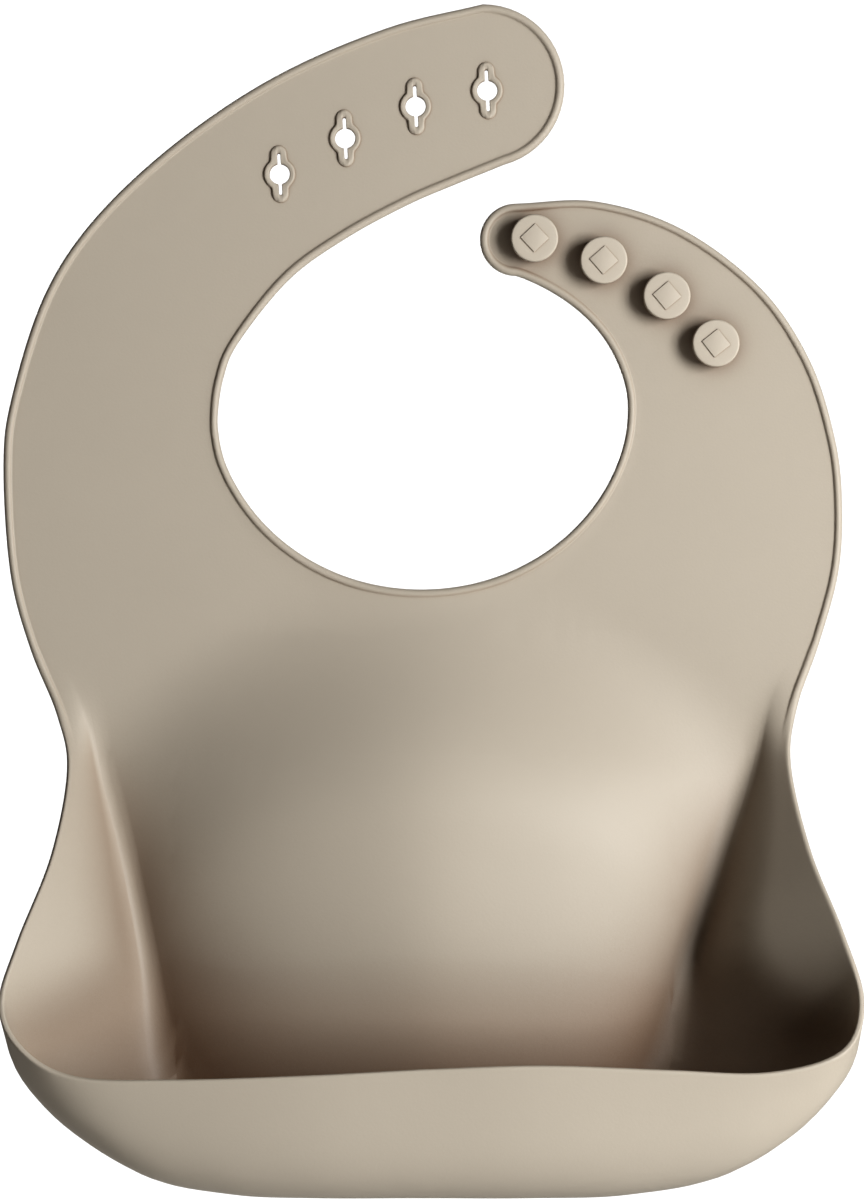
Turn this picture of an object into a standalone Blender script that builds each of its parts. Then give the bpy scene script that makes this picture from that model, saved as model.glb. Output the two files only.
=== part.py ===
"""Silicone bib with a catch pocket, four studs and four slotted holes. Metres, +Z up, front towards -Y."""
import math

import bmesh
import bpy
import numpy as np
from mathutils import Matrix, Vector

MM = 0.001
SHEET = 1.5  # sheet thickness, mm
BEAD_WIDTH = 2.4  # rounded bead along the neck and outer edges
BEAD_HEIGHT = 0.7
GAP = 0.3  # clearance between neighbouring pieces
FLEX_GAP = 1.4  # clearance along a flex line that folds
NECK_X, NECK_HALF_WIDTH, NECK_DROP, NECK_RISE = -0.65, 54.0, 49.3, 36.5
NECK_PINCH = 1.3  # how much narrower the opening's half width is above its middle
WAIST_Z = -75.0  # flex line between the yoke and the pocket half
BELLY_BULGE = 24.0  # how far the middle of the belly stands forward
BELLY_RIDGE = 0.2  # roundness of its upright ridge, as a share of its half width
BELLY_FULLNESS = 0.5  # share of it that is a full pillow shape, the rest being the ridge
BELLY_TOP = (-70.0, -14.0, 46.0)  # height where it starts, drop to the sides, length of the rise
BELLY_BOTTOM = (-126.0, 76.0, 0.3)  # height where it draws back, over what length, by what share
POCKET_FLOOR_Z = -200.8
FRONT_HALF_WIDTH = 64.0  # the front wall flexes between these two planes
KEYHOLE_TIP = (15.3, 81.6, 21.2)  # centre x, centre z, radius of the rounded strap end
BUTTON_TIP = (23.9, 41.6, 9.4)
KEYHOLE_FOLDS = (180.0, 131.0, 99.0)  # strap flex lines, degrees round the neck opening
BUTTON_FOLDS = (0.0, 30.0, 47.0)
KEYHOLES = ((-37.5, 58.6), (-20.5, 67.9), (-2.2, 76.2), (16.4, 80.3))
HOLE_RADIUS, SLIT_HALF_WIDTH, SLIT_HALF_LENGTH = 2.4, 0.45, 5.4
RIM_RADIUS, RIM_HALF_WIDTH, RIM_HALF_LENGTH = 4.2, 2.2, 7.2
BUTTONS = ((28.6, 41.6), (46.5, 35.9), (62.8, 26.7), (75.5, 14.4))
HEAD_RADIUS, HEAD_HEIGHT, STEM_RADIUS, STEM_HEIGHT = 6.1, 2.4, 2.3, 2.8
PAD_SIDE, PAD_HEIGHT = 5.3, 0.3

# Outer edge of the yoke, from the rounded end of each strap down to the waist
RIGHT_EDGE = ((23.9, 51.0), (45, 51.5), (67.3, 44.2), (87.7, 28.8), (100.2, 10.3), (106.6, -9.4),
              (108.6, -26), (107.7, -44.5), (102.5, -63.7), (96.7, -80.1))
LEFT_EDGE = ((15.3, 102.8), (-9.9, 96.5), (-38.7, 84), (-64.5, 66.8), (-85.8, 46.8), (-98.8, 26.8),
             (-107.1, 0.8), (-109.3, -16.9), (-107.5, -45), (-102.2, -65), (-95.2, -81.9))
STRAP_INNER_EDGE = ((20.8, 61.1), (7.4, 55.7), (-4.4, 50.6), (-19.9, 42.2), (-34.9, 31.4), (-48.1, 15.1),
                    (-52.1, 5.8), (-53.6, -4.0), (-53.2, -10.2), (-52.0, -15.4), (-50.1, -20.0))
# Rim of the pocket half from the middle of the lip outwards and up to the waist
LEFT_RIM = ((0, -62, -166.8), (-30, -62, -168.4), (-63, -60, -169.6), (-86, -58, -169), (-99, -55, -162.5),
            (-104.8, -49, -152), (-101.6, -40, -137.6), (-94.5, -24, -116.8), (-91.8, -9, -95.8),
            (-95.2, -2, -81.9), (-102.2, 0, -65), (-107.5, 0, -45))
RIGHT_RIM = ((0, -62, -166.8), (29, -62, -165.9), (60, -60, -167.2), (85, -58, -168), (103.4, -55, -163),
             (108.6, -49, -151), (104.8, -40, -135), (98.1, -24, -115.5), (94.4, -9, -94.5),
             (96.7, -2, -80.1), (102.5, 0, -63.7), (107.7, 0, -44.5))
# Where the back sheet turns into the floor and the side walls, mid-line outwards
LEFT_CREASE = ((0, -200.8), (-22, -200.8), (-42, -200.3), (-56, -197), (-64.5, -187), (-69, -170),
               (-73, -148), (-78.5, -121), (-84.5, -97))
RIGHT_CREASE = ((0, -200.8), (22, -200.8), (39, -200.3), (51, -197), (58.5, -187), (64, -170),
                (69.5, -148), (77.5, -121), (85.5, -97))
# Where the floor turns into the front wall
LEFT_TOE = ((0, -57, -200.8), (-30, -56.5, -200.8), (-50, -54, -200.2), (-72.5, -50, -195.8),
            (-94.5, -44, -181), (-101, -37, -167))
RIGHT_TOE = ((0, -57, -200.8), (30, -56.5, -200.8), (56, -54, -200.2), (81, -50, -195),
             (99.5, -45, -181), (106, -38, -165))
WALL_FLARE = (0.4, 0.58, 0.5)  # where a side wall turns outwards: shares of its width, depth and height
# Where each line leaves the neck edge, degrees
NECK_ANGLES = (90, 98, 106, 113, 119, 126, 133, 141, 149, 156, 164, 174)
# Distance of each side crease from the middle at these heights below the neck's centre
CREASE_HEIGHTS = (97, 121, 148, 170, 187, 201)
LEFT_HALF_WIDTHS = (84.5, 78.5, 73, 69, 67, 66)
RIGHT_HALF_WIDTHS = (85.5, 77.5, 69.5, 64, 62, 61)
LEFT_FOLD_RADIUS = (19, 19, 19, 18, 16, 12, 10, 9, 6, 5, 4, 4)
RIGHT_FOLD_RADIUS = (19, 19, 19, 17, 13, 9, 7, 6, 5, 4, 4, 4)


def start_clean():
    for item in list(bpy.data.objects):
        bpy.data.objects.remove(item, do_unlink=True)


def silicone(name, colour, roughness):
    material = bpy.data.materials.new(name)
    material.use_nodes = True
    shader = material.node_tree.nodes["Principled BSDF"]
    shader.inputs["Base Color"].default_value = (*colour, 1.0)
    shader.inputs["Roughness"].default_value = roughness
    return material


def curve_at(knots, t):
    """Point on the smooth curve through the knots, t counting knots."""
    points = np.array(knots, float)
    points = np.vstack([2 * points[0] - points[1], points, 2 * points[-1] - points[-2]])
    i = min(max(int(math.floor(t)), 0), len(knots) - 2)
    t -= i
    a, b, c, d = points[i:i + 4]
    square = 2 * a - 5 * b + 4 * c - d
    cube = 3 * b - a - 3 * c + d
    return 0.5 * (2 * b + (c - a) * t + square * t * t + cube * t ** 3)


def curve_through(knots, steps):
    return [tuple(curve_at(knots, k / steps)) for k in range((len(knots) - 1) * steps + 1)]


def arc(cx, cz, rx, rz, start, end, steps):
    angles = [math.radians(start + (end - start) * k / steps) for k in range(steps + 1)]
    return [(cx + rx * math.cos(a), cz + rz * math.sin(a)) for a in angles]


def smooth(value):
    value = min(max(value, 0.0), 1.0)
    return value * value * (3 - 2 * value)


def neck_arc(rise, start, end, steps):
    points = []
    for k in range(steps + 1):
        degrees = start + (end - start) * k / steps
        width = NECK_HALF_WIDTH - NECK_PINCH * smooth((degrees + 15) / 35)
        angle = math.radians(degrees)
        points.append((NECK_X + width * math.cos(angle), rise * math.sin(angle)))
    return points


def yoke_outline():
    """Closed outline of the flat half, straps included, down past the waist."""
    loop = curve_through(RIGHT_EDGE, 3)
    loop += [tuple(p) for p in reversed(curve_through(LEFT_EDGE, 3))]
    x, z, r = KEYHOLE_TIP
    loop += arc(x, z, r, r, 90, -75, 12)[1:]
    loop += curve_through(STRAP_INNER_EDGE, 3)[1:]
    loop += neck_arc(NECK_DROP, -154, 0, 23)[1:]
    loop += neck_arc(NECK_RISE, 0, 62, 7)[1:]
    x, z, r = BUTTON_TIP
    loop += arc(x, z, r, r, 270, 90, 9)[:-1]
    return loop


def finish_object(name, bm, material, parent, pivot):
    """Turn a mesh in millimetres into one named node whose origin is its flex line."""
    bmesh.ops.remove_doubles(bm, verts=bm.verts, dist=0.01)
    bmesh.ops.recalc_face_normals(bm, faces=bm.faces)
    if bm.calc_volume(signed=True) < 0:
        bmesh.ops.reverse_faces(bm, faces=bm.faces)
    bmesh.ops.transform(bm, matrix=Matrix.Translation([-c for c in pivot]), verts=bm.verts)
    bmesh.ops.scale(bm, vec=(MM, MM, MM), verts=bm.verts)
    mesh = bpy.data.meshes.new(name)
    bm.to_mesh(mesh)
    bm.free()
    mesh.materials.append(material)
    item = bpy.data.objects.new(name, mesh)
    bpy.context.scene.collection.objects.link(item)
    item.location = Vector(pivot) * MM
    if parent is not None:
        item.parent = parent
        item.location = Vector(pivot) * MM - parent.matrix_world.translation
    bpy.context.view_layer.update()
    return item


def cut(bm, point, normal):
    """Keep what lies behind the plane and close the cut."""
    geometry = bm.verts[:] + bm.edges[:] + bm.faces[:]
    bmesh.ops.bisect_plane(bm, geom=geometry, dist=0.0001, plane_co=point, plane_no=normal, clear_outer=True)
    open_edges = [e for e in bm.edges if e.is_boundary]
    if open_edges:
        bmesh.ops.holes_fill(bm, edges=open_edges, sides=0)
    bmesh.ops.dissolve_limit(bm, angle_limit=0.002, verts=bm.verts, edges=bm.edges)
    bmesh.ops.triangulate(bm, faces=bm.faces)


def yoke_plate():
    """Flat sheet with a raised bead along its whole outline."""
    bm = bmesh.new()
    face = bm.faces.new([bm.verts.new((x, -SHEET / 2, z)) for x, z in yoke_outline()])
    bm.normal_update()
    for width in (BEAD_WIDTH, 0.5):
        bmesh.ops.inset_region(bm, faces=[face], thickness=width, use_even_offset=True, use_boundary=True)
        bm.normal_update()
    crest = set(bm.verts) - set(face.verts)
    edges = [e for e in bm.edges if e.is_boundary]
    result = bmesh.ops.extrude_edge_only(bm, edges=edges)
    back = [v for v in result["geom"] if isinstance(v, bmesh.types.BMVert)]
    bmesh.ops.translate(bm, vec=(0, SHEET, 0), verts=back)
    bmesh.ops.translate(bm, vec=(0, -BEAD_HEIGHT, 0), verts=list(crest))
    bmesh.ops.holes_fill(bm, edges=[e for e in bm.edges if e.is_boundary], sides=0)
    bmesh.ops.recalc_face_normals(bm, faces=bm.faces)
    bmesh.ops.triangulate(bm, faces=bm.faces)
    return bm


def radial(degrees):
    a = math.radians(degrees)
    return Vector((math.cos(a), 0, math.sin(a)))


def beyond(degrees):
    """Direction in the sheet, square to the flex line, anticlockwise seen from the front."""
    a = math.radians(degrees)
    return Vector((-math.sin(a), 0, math.cos(a)))


def strap_piece(first, last, side):
    """Plate between two flex lines; side is 1 for the button strap and -1 for the keyhole strap."""
    bm = yoke_plate()
    step = FLEX_GAP / 2
    cut(bm, (0, 0, step), (0, 0, -1))
    keep_island(bm, radial(90 - 60 * side) * 76)
    cut(bm, beyond(first) * step * side, -beyond(first) * side)
    if last is not None:
        cut(bm, -beyond(last) * step * side, beyond(last) * side)
    return bm


def keep_island(bm, near):
    """Keep only the connected shell closest to a point."""
    bm.verts.ensure_lookup_table()
    seed = min(bm.verts, key=lambda v: (v.co - Vector(near)).length)
    found = {seed}
    queue = [seed]
    while queue:
        vert = queue.pop()
        for edge in vert.link_edges:
            other = edge.other_vert(vert)
            if other not in found:
                found.add(other)
                queue.append(other)
    bmesh.ops.delete(bm, geom=[v for v in bm.verts if v not in found], context="VERTS")


def keyhole_outline(centre, radius, half_width, half_length):
    """Round hole with a straight slit above and below it."""
    corner = math.degrees(math.asin(half_width / radius))
    top = half_length - half_width
    loop = arc(0, 0, radius, radius, -90 + corner, 90 - corner, 10)
    loop += arc(0, top, half_width, half_width, 0, 180, 6)
    loop += arc(0, 0, radius, radius, 90 + corner, 270 - corner, 10)
    loop += arc(0, -top, half_width, half_width, 180, 360, 6)
    return [(centre[0] + x, centre[1] + z) for x, z in loop]


def prism(outline, y0, y1):
    bm = bmesh.new()
    face = bm.faces.new([bm.verts.new((x, y0, z)) for x, z in outline])
    result = bmesh.ops.extrude_face_region(bm, geom=[face])
    moved = [v for v in result["geom"] if isinstance(v, bmesh.types.BMVert)]
    bmesh.ops.translate(bm, vec=(0, y1 - y0, 0), verts=moved)
    bmesh.ops.recalc_face_normals(bm, faces=bm.faces)
    return bm


def keyhole_rim(centre):
    """Raised rim that lines one slotted hole right through the strap."""
    bm = bmesh.new()
    rings = []
    sizes = ((RIM_RADIUS, RIM_HALF_WIDTH, RIM_HALF_LENGTH), (HOLE_RADIUS, SLIT_HALF_WIDTH, SLIT_HALF_LENGTH))
    for y in (-SHEET / 2 - BEAD_HEIGHT, SHEET / 2):
        for size in sizes:
            rings.append([bm.verts.new((x, y, z)) for x, z in keyhole_outline(centre, *size)])
    count = len(rings[0])
    for a, b in ((0, 1), (1, 3), (3, 2), (2, 0)):
        for k in range(count):
            n = (k + 1) % count
            bm.faces.new((rings[a][k], rings[a][n], rings[b][n], rings[b][k]))
    return bm


def drill_keyhole(item, centre, pivot):
    """Open the strap for one rim."""
    size = (RIM_RADIUS + GAP, RIM_HALF_WIDTH + GAP, RIM_HALF_LENGTH + GAP)
    bm = prism(keyhole_outline(centre, *size), -4, 4)
    material = item.data.materials[0]
    cutter = finish_object("cutter", bm, material, None, pivot)
    cutter.hide_render = True
    cutter.display_type = "WIRE"
    modifier = item.modifiers.new("keyhole", "BOOLEAN")
    modifier.operation = "DIFFERENCE"
    modifier.solver = "EXACT"
    modifier.object = cutter
    bpy.context.view_layer.update()
    graph = bpy.context.evaluated_depsgraph_get()
    mesh = bpy.data.meshes.new_from_object(item.evaluated_get(graph))
    item.modifiers.clear()
    item.data = mesh
    bpy.data.objects.remove(cutter, do_unlink=True)


def button(centre):
    """Stud: stem, round head and a raised square pad standing on one corner."""
    bm = bmesh.new()
    base = -SHEET / 2 - GAP
    under = base - STEM_HEIGHT
    top = under - HEAD_HEIGHT
    profile = ((0, base), (STEM_RADIUS, base), (STEM_RADIUS, under), (HEAD_RADIUS - 0.5, under),
               (HEAD_RADIUS, under - 0.5), (HEAD_RADIUS, top + 0.9), (HEAD_RADIUS - 0.3, top + 0.3),
               (HEAD_RADIUS - 0.9, top), (PAD_SIDE * 0.75, top))
    verts = [bm.verts.new((r, y, 0)) for r, y in profile]
    edges = [bm.edges.new((a, b)) for a, b in zip(verts, verts[1:])]
    bmesh.ops.spin(bm, geom=verts + edges, cent=(0, 0, 0), axis=(0, 1, 0), angle=math.tau, steps=32,
                   use_merge=True, dvec=(0, 0, 0))
    bmesh.ops.remove_doubles(bm, verts=bm.verts, dist=0.001)
    rim = [e for e in bm.edges if e.is_boundary]
    half = PAD_SIDE / math.sqrt(2)
    pad = []
    for y in (top, top - PAD_HEIGHT):
        pad.append([bm.verts.new((half * math.cos(k * math.pi / 2), y, half * math.sin(k * math.pi / 2)))
                    for k in range(4)])
    lower = [bm.edges.new((pad[0][k], pad[0][(k + 1) % 4])) for k in range(4)]
    for k in range(4):
        n = (k + 1) % 4
        bm.faces.new((pad[0][k], pad[0][n], pad[1][n], pad[1][k]))
    bm.faces.new(pad[1])
    bmesh.ops.bridge_loops(bm, edges=rim + lower)
    bmesh.ops.translate(bm, vec=(centre[0], 0, centre[1]), verts=bm.verts)
    return bm


def inward(rim, t):
    """Unit vector in the sheet that points from the outer edge towards the neck."""
    ahead = curve_at(rim, min(t + 0.05, len(rim) - 1))
    behind = curve_at(rim, max(t - 0.05, 0))
    along = ahead - behind
    side = np.array((-along[2], 0.0, along[0]))
    side /= np.linalg.norm(side)
    return side if side[0] * curve_at(rim, t)[0] < 0 else -side


def belly_depth(x, z):
    """How far the back sheet stands forward at a place between the side creases."""
    half = LEFT_HALF_WIDTHS if x < 0 else RIGHT_HALF_WIDTHS
    share = min(abs(x) / np.interp(-z, CREASE_HEIGHTS, half), 1.0)
    c = BELLY_RIDGE
    across = (math.hypot(1, c) - math.hypot(share, c)) / (math.hypot(1, c) - c)
    across += (1 - share ** 4 - across) * BELLY_FULLNESS
    top, drop, rise = BELLY_TOP
    low, length, loss = BELLY_BOTTOM
    along = smooth((top + drop * share ** 2 - z) / rise) * (1 - loss * smooth((low - z) / length))
    return -BELLY_BULGE * across * along


def fold_point(t, left):
    rim, crease = (LEFT_RIM, LEFT_CREASE) if left else (RIGHT_RIM, RIGHT_CREASE)
    knots = list(crease)
    for k in (9, 10, 11):
        tucked = curve_at(rim, k) + inward(rim, k) * 8.0
        knots.append((tucked[0], tucked[2]))
    x, z = curve_at(knots, t)
    return np.array((x, belly_depth(x, z), z))


def side_foot(t, left):
    fold = fold_point(t, left)
    end = curve_at(LEFT_RIM if left else RIGHT_RIM, t)
    return fold + (end - fold) * np.array(WALL_FLARE)


def pocket_line(u):
    """Corner points of one line from the neck edge to the rim; u counts outwards, left is negative."""
    t = abs(u)
    left = u < 0
    angle = math.radians(curve_at([(a, 0) for a in NECK_ANGLES], t)[0])
    neck = np.array((NECK_X + NECK_HALF_WIDTH * math.cos(angle) * (1 if left else -1), 0.0,
                     -NECK_DROP * math.sin(angle)))
    end = curve_at(LEFT_RIM if left else RIGHT_RIM, t)
    fold = fold_point(t, left)
    if t >= 7:
        foot = side_foot(t, left)
    else:
        toe = list(LEFT_TOE if left else RIGHT_TOE) + [tuple(side_foot(k, left)) for k in (6, 7, 8)]
        foot = curve_at(toe, t)
    radius = curve_at([(r, 0) for r in (LEFT_FOLD_RADIUS if left else RIGHT_FOLD_RADIUS)], t)[0]
    return neck, fold, foot, end, radius


def pocket_stations(u, rows):
    """Points along one line: down the back sheet, through both folds and up to the rim."""
    neck, fold, foot, end, radius = pocket_line(u)
    path = []
    straight = np.linalg.norm(fold - neck)
    for k in range(41):
        w = k / 40
        p = neck + (fold - neck) * w
        p[1] = belly_depth(p[0], p[2])
        path.append(p)
    path = [p for p in path if np.linalg.norm(p - fold) > radius * 0.95]
    before = path[-1]
    across = foot - fold
    reach = min(radius, 0.5 * np.linalg.norm(across))
    after = fold + across / np.linalg.norm(across) * reach
    first = len(path) - 1
    for s in np.linspace(0, 1, 13)[1:]:
        path.append((1 - s) ** 2 * before + 2 * s * (1 - s) * fold + s * s * after)
    middle = first + 6
    up = end - foot
    reach = min(radius, 0.5 * np.linalg.norm(across), 0.6 * np.linalg.norm(up))
    start = foot - across / np.linalg.norm(across) * reach
    finish = foot + up / np.linalg.norm(up) * reach
    path.append(start)
    first = len(path) - 1
    for s in np.linspace(0, 1, 13)[1:]:
        path.append((1 - s) ** 2 * start + 2 * s * (1 - s) * foot + s * s * finish)
    second = first + 6
    path += [finish + (end - finish) * s for s in np.linspace(0, 1, 9)[1:]]
    path = np.array(path)
    marks = (0, middle, second, len(path) - 1)
    out = []
    for a, b, count in zip(marks, marks[1:], rows):
        piece = path[a:b + 1]
        length = np.concatenate([[0], np.cumsum(np.linalg.norm(np.diff(piece, axis=0), axis=1))])
        wanted = np.linspace(0, length[-1], count + 1)
        out += [np.array([np.interp(w, length, piece[:, c]) for c in range(3)]) for w in wanted[:-1]]
    out.append(path[-1])
    return out


ROWS = (14, 7, 6)  # rows on the back sheet, the floor and the outer wall


def pocket_grid():
    """Mid-surface of the pocket half as columns of points."""
    columns = [u / 2 for u in range(-22, 23)]
    return np.array([pocket_stations(u, ROWS) for u in columns])


def grid_normals(grid):
    across = np.gradient(grid, axis=0)
    down = np.gradient(grid, axis=1)
    normals = np.cross(across, down)
    size = np.linalg.norm(normals, axis=2, keepdims=True)
    normals = normals / np.maximum(size, 1e-9)
    return normals


def pocket_piece(row0, row1, planes, trim_start=0.0, trim_end=0.0):
    """Closed solid from rows row0..row1 of the pocket sheet, cut back by the planes."""
    grid = pocket_grid()
    normals = grid_normals(grid)
    rows = grid[:, row0:row1 + 1].copy()
    facing = normals[:, row0:row1 + 1]
    for edge, inner, amount in ((0, 1, trim_start), (-1, -2, trim_end)):
        step = rows[:, inner] - rows[:, edge]
        step = step / np.linalg.norm(step, axis=1, keepdims=True)
        rows[:, edge] += step * amount
    bm = bmesh.new()
    columns, count = rows.shape[:2]
    sheets = []
    for offset in (-SHEET / 2, SHEET / 2):
        sheet = rows + facing * offset
        sheets.append([[bm.verts.new(sheet[i, j]) for j in range(count)] for i in range(columns)])
    for sheet in sheets:
        for i in range(columns - 1):
            for j in range(count - 1):
                bm.faces.new((sheet[i][j], sheet[i + 1][j], sheet[i + 1][j + 1], sheet[i][j + 1]))
    front, back = sheets
    for i in range(columns - 1):
        for j in (0, count - 1):
            bm.faces.new((front[i][j], front[i + 1][j], back[i + 1][j], back[i][j]))
    for j in range(count - 1):
        for i in (0, columns - 1):
            bm.faces.new((front[i][j], front[i][j + 1], back[i][j + 1], back[i][j]))
    bmesh.ops.recalc_face_normals(bm, faces=bm.faces)
    for point, normal in planes:
        cut(bm, point, normal)
    return bm


def build():
    start_clean()
    sheet = silicone("silicone_sheet", (0.47, 0.41, 0.33), 0.55)
    stud = silicone("silicone_stud", (0.56, 0.49, 0.40), 0.5)

    bm = yoke_plate()
    cut(bm, (0, 0, -FLEX_GAP / 2), (0, 0, 1))
    cut(bm, (0, 0, WAIST_Z + FLEX_GAP / 2), (0, 0, -1))
    chest = finish_object("chest_panel", bm, sheet, None, (0, 0, 0))

    straps = {}
    for strap, folds, side in (("button_strap", BUTTON_FOLDS, 1), ("keyhole_strap", KEYHOLE_FOLDS, -1)):
        parent = chest
        for index, part in enumerate(("root", "mid", "tip")):
            last = folds[index + 1] if index < 2 else None
            pivot = tuple(radial(folds[index]) * 76)
            bm = strap_piece(folds[index], last, side)
            parent = finish_object(strap + "_" + part, bm, sheet, parent, pivot)
            straps[strap + "_" + part] = (parent, pivot)

    for number, centre in enumerate(KEYHOLES, 1):
        owner, pivot = straps["keyhole_strap_mid" if number < 3 else "keyhole_strap_tip"]
        drill_keyhole(owner, centre, pivot)
        finish_object("keyhole_rim_%d" % number, keyhole_rim(centre), stud, owner, (centre[0], 0, centre[1]))

    owners = ("tip", "mid", "root", "root")
    for number, centre in enumerate(BUTTONS, 1):
        owner = straps["button_strap_" + owners[number - 1]][0]
        finish_object("button_%d" % number, button(centre), stud, owner, (centre[0], 0, centre[1]))

    waist = ((0, 0, WAIST_Z - FLEX_GAP / 2), (0, 0, 1))
    right = ((FRONT_HALF_WIDTH + GAP / 2, 0, 0), (-1, 0, 0))
    left = ((-FRONT_HALF_WIDTH - GAP / 2, 0, 0), (1, 0, 0))
    middle = [((FRONT_HALF_WIDTH - GAP / 2, 0, 0), (1, 0, 0)),
              ((GAP / 2 - FRONT_HALF_WIDTH, 0, 0), (-1, 0, 0))]
    fold1 = ROWS[0]
    fold2 = ROWS[0] + ROWS[1]
    rim = sum(ROWS)
    bm = pocket_piece(0, fold1, [waist], 0, GAP / 2)
    belly = finish_object("belly_panel", bm, sheet, chest, (0, 0, WAIST_Z))
    bm = pocket_piece(fold1, fold2, [waist] + middle, GAP / 2, FLEX_GAP / 2)
    finish_object("pocket_floor", bm, sheet, belly, (0, -30, POCKET_FLOOR_Z))
    bm = pocket_piece(fold2, rim, [waist] + middle, FLEX_GAP / 2, 0)
    finish_object("pocket_front_wall", bm, sheet, belly, (0, -46, POCKET_FLOOR_Z))
    for name, side, x in (("pocket_right_wall", right, 85), ("pocket_left_wall", left, -85)):
        bm = pocket_piece(fold1, rim, [waist, side], GAP / 2, 0)
        finish_object(name, bm, sheet, belly, (x, -20, -150))


build()
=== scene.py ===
import math

import bmesh
import bpy
import numpy as np
from mathutils import Matrix, Vector


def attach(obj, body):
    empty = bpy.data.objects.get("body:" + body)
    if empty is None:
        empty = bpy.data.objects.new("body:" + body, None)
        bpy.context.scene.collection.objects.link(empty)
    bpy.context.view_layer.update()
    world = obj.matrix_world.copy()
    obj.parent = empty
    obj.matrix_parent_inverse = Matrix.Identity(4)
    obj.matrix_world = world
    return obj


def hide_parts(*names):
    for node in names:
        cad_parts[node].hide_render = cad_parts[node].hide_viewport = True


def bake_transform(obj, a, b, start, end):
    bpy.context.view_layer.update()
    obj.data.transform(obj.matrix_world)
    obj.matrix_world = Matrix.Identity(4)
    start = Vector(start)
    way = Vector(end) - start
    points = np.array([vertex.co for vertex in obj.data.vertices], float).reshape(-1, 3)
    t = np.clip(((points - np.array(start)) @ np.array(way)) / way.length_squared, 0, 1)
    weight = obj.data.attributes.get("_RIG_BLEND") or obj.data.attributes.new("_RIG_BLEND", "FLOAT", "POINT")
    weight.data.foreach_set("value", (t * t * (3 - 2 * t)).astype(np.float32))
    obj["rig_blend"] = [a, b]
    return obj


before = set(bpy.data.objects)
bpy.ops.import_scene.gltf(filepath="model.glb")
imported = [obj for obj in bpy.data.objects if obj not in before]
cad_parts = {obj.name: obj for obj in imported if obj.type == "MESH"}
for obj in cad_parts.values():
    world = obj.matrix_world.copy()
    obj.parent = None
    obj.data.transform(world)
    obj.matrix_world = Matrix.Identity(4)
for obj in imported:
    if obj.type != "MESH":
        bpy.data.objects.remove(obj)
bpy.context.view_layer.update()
print("frame loaded:", len(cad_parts), "CAD nodes")

mm = 0.001

# Everything a user would change on the moulded sheet, in millimetres
sheet = {
    "thickness": 1.5,
    "neckCentre": (-0.65, 0.0),
    "neckHalfWidth": 54.0,
    "neckPinch": 1.3,  # how much narrower the half width is above the middle
    "pinchTurn": (-15.0, 35.0),  # direction where that starts, and over how many degrees it comes in
    "neckDrop": 49.3,
    "neckRise": 36.5,
    "bellyBulge": 24.0,  # how far the middle of the belly stands forward
    "bellyRidge": 0.2,  # roundness of the belly's upright ridge, as a share of its half width
    "wallFlare": (0.4, 0.58, 0.5),  # a side wall turns out at these shares of its width, depth, height
    "bellyFullness": 0.5,  # share of the belly that is a full pillow shape, the rest being the ridge
    "bellyBottom": (-126.0, 76.0, 0.35),  # height where it draws back, over what length, and by what share
    "bellyTop": (-46.0, -32.0, 62.0),  # height of its start, drop to the sides, length of the rise
    "knotsLeft": 19,  # knots along the outline from the middle of the lip to the keyhole strap's end
    "knotsRight": 18,  # and to the button strap's end
    "stepsPerKnot": 8,
    "rowsBack": 24,
    "rowsFloor": 14,
    "rowsWall": 12,
    "capSteps": 26,
    "foldSteps": 12,
    "beadEnds": (8.4, 9.4),  # knots between which the edge bead fades out down the waist
    "waistKnot": 10,  # from this knot upwards the sheet is flat
    "foldInset": 8.0,  # in the flat part the fold's rows run this far inside the outer edge
    "toeInset": 4.0,
    "evenKnots": (12.0, 15.0),  # knots over which the rows even out towards the straps
    "sharpAngle": 55.0,
}
# Section across the rounded bead and across the plain rim: distance in from the edge, height over the face
beadSection = ((0.0, -0.42), (0.1, 0.0), (0.38, 0.38), (0.85, 0.64), (1.3, 0.7), (1.75, 0.6), (2.08, 0.3),
               (2.25, 0.04), (2.6, 0.0))
plainSection = ((0.0, -0.5), (0.1, -0.24), (0.38, -0.06), (0.85, 0.0), (2.6, 0.0))
backSection = ((0.0, -0.4), (0.1, -0.2), (0.38, -0.04), (0.85, 0.0), (2.6, 0.0))

# The sheet's outer edge from each strap's end down to the waist, as (x, z)
rightEdge = ((23.9, 51.0), (45, 51.5), (67.3, 44.2), (87.7, 28.8), (100.2, 10.3), (106.6, -9.4), (108.6, -26),
             (107.7, -44.5), (102.5, -63.7), (96.7, -80.1))
leftEdge = ((15.3, 102.8), (-9.9, 96.5), (-38.7, 84), (-64.5, 66.8), (-85.8, 46.8), (-98.8, 26.8),
            (-107.1, 0.8), (-109.3, -16.9), (-107.5, -45), (-102.2, -65), (-95.2, -81.9))
strapInnerEdge = ((20.8, 61.1), (7.4, 55.7), (-4.4, 50.6), (-19.9, 42.2), (-34.9, 31.4), (-48.1, 15.1),
                  (-52.1, 5.8), (-53.6, -4.0), (-53.2, -10.2), (-52.0, -15.4), (-50.1, -20.0))
# Rim of the pocket from the middle of the lip outwards and up to the waist, as (x, y, z)
leftRim = ((0, -62, -166.8), (-30, -62, -168.4), (-63, -60, -169.6), (-86, -58, -169), (-99, -55, -162.5),
           (-104.8, -49, -152), (-101.6, -40, -137.6), (-94.5, -24, -116.8), (-91.8, -9, -95.8),
           (-95.2, -2, -81.9), (-102.2, 0, -65), (-107.5, 0, -45))
rightRim = ((0, -62, -166.8), (29, -62, -165.9), (60, -60, -167.2), (85, -58, -168), (103.4, -55, -163),
            (108.6, -49, -151), (104.8, -40, -135), (98.1, -24, -115.5), (94.4, -9, -94.5), (96.7, -2, -80.1),
            (102.5, 0, -63.7), (107.7, 0, -44.5))
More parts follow.
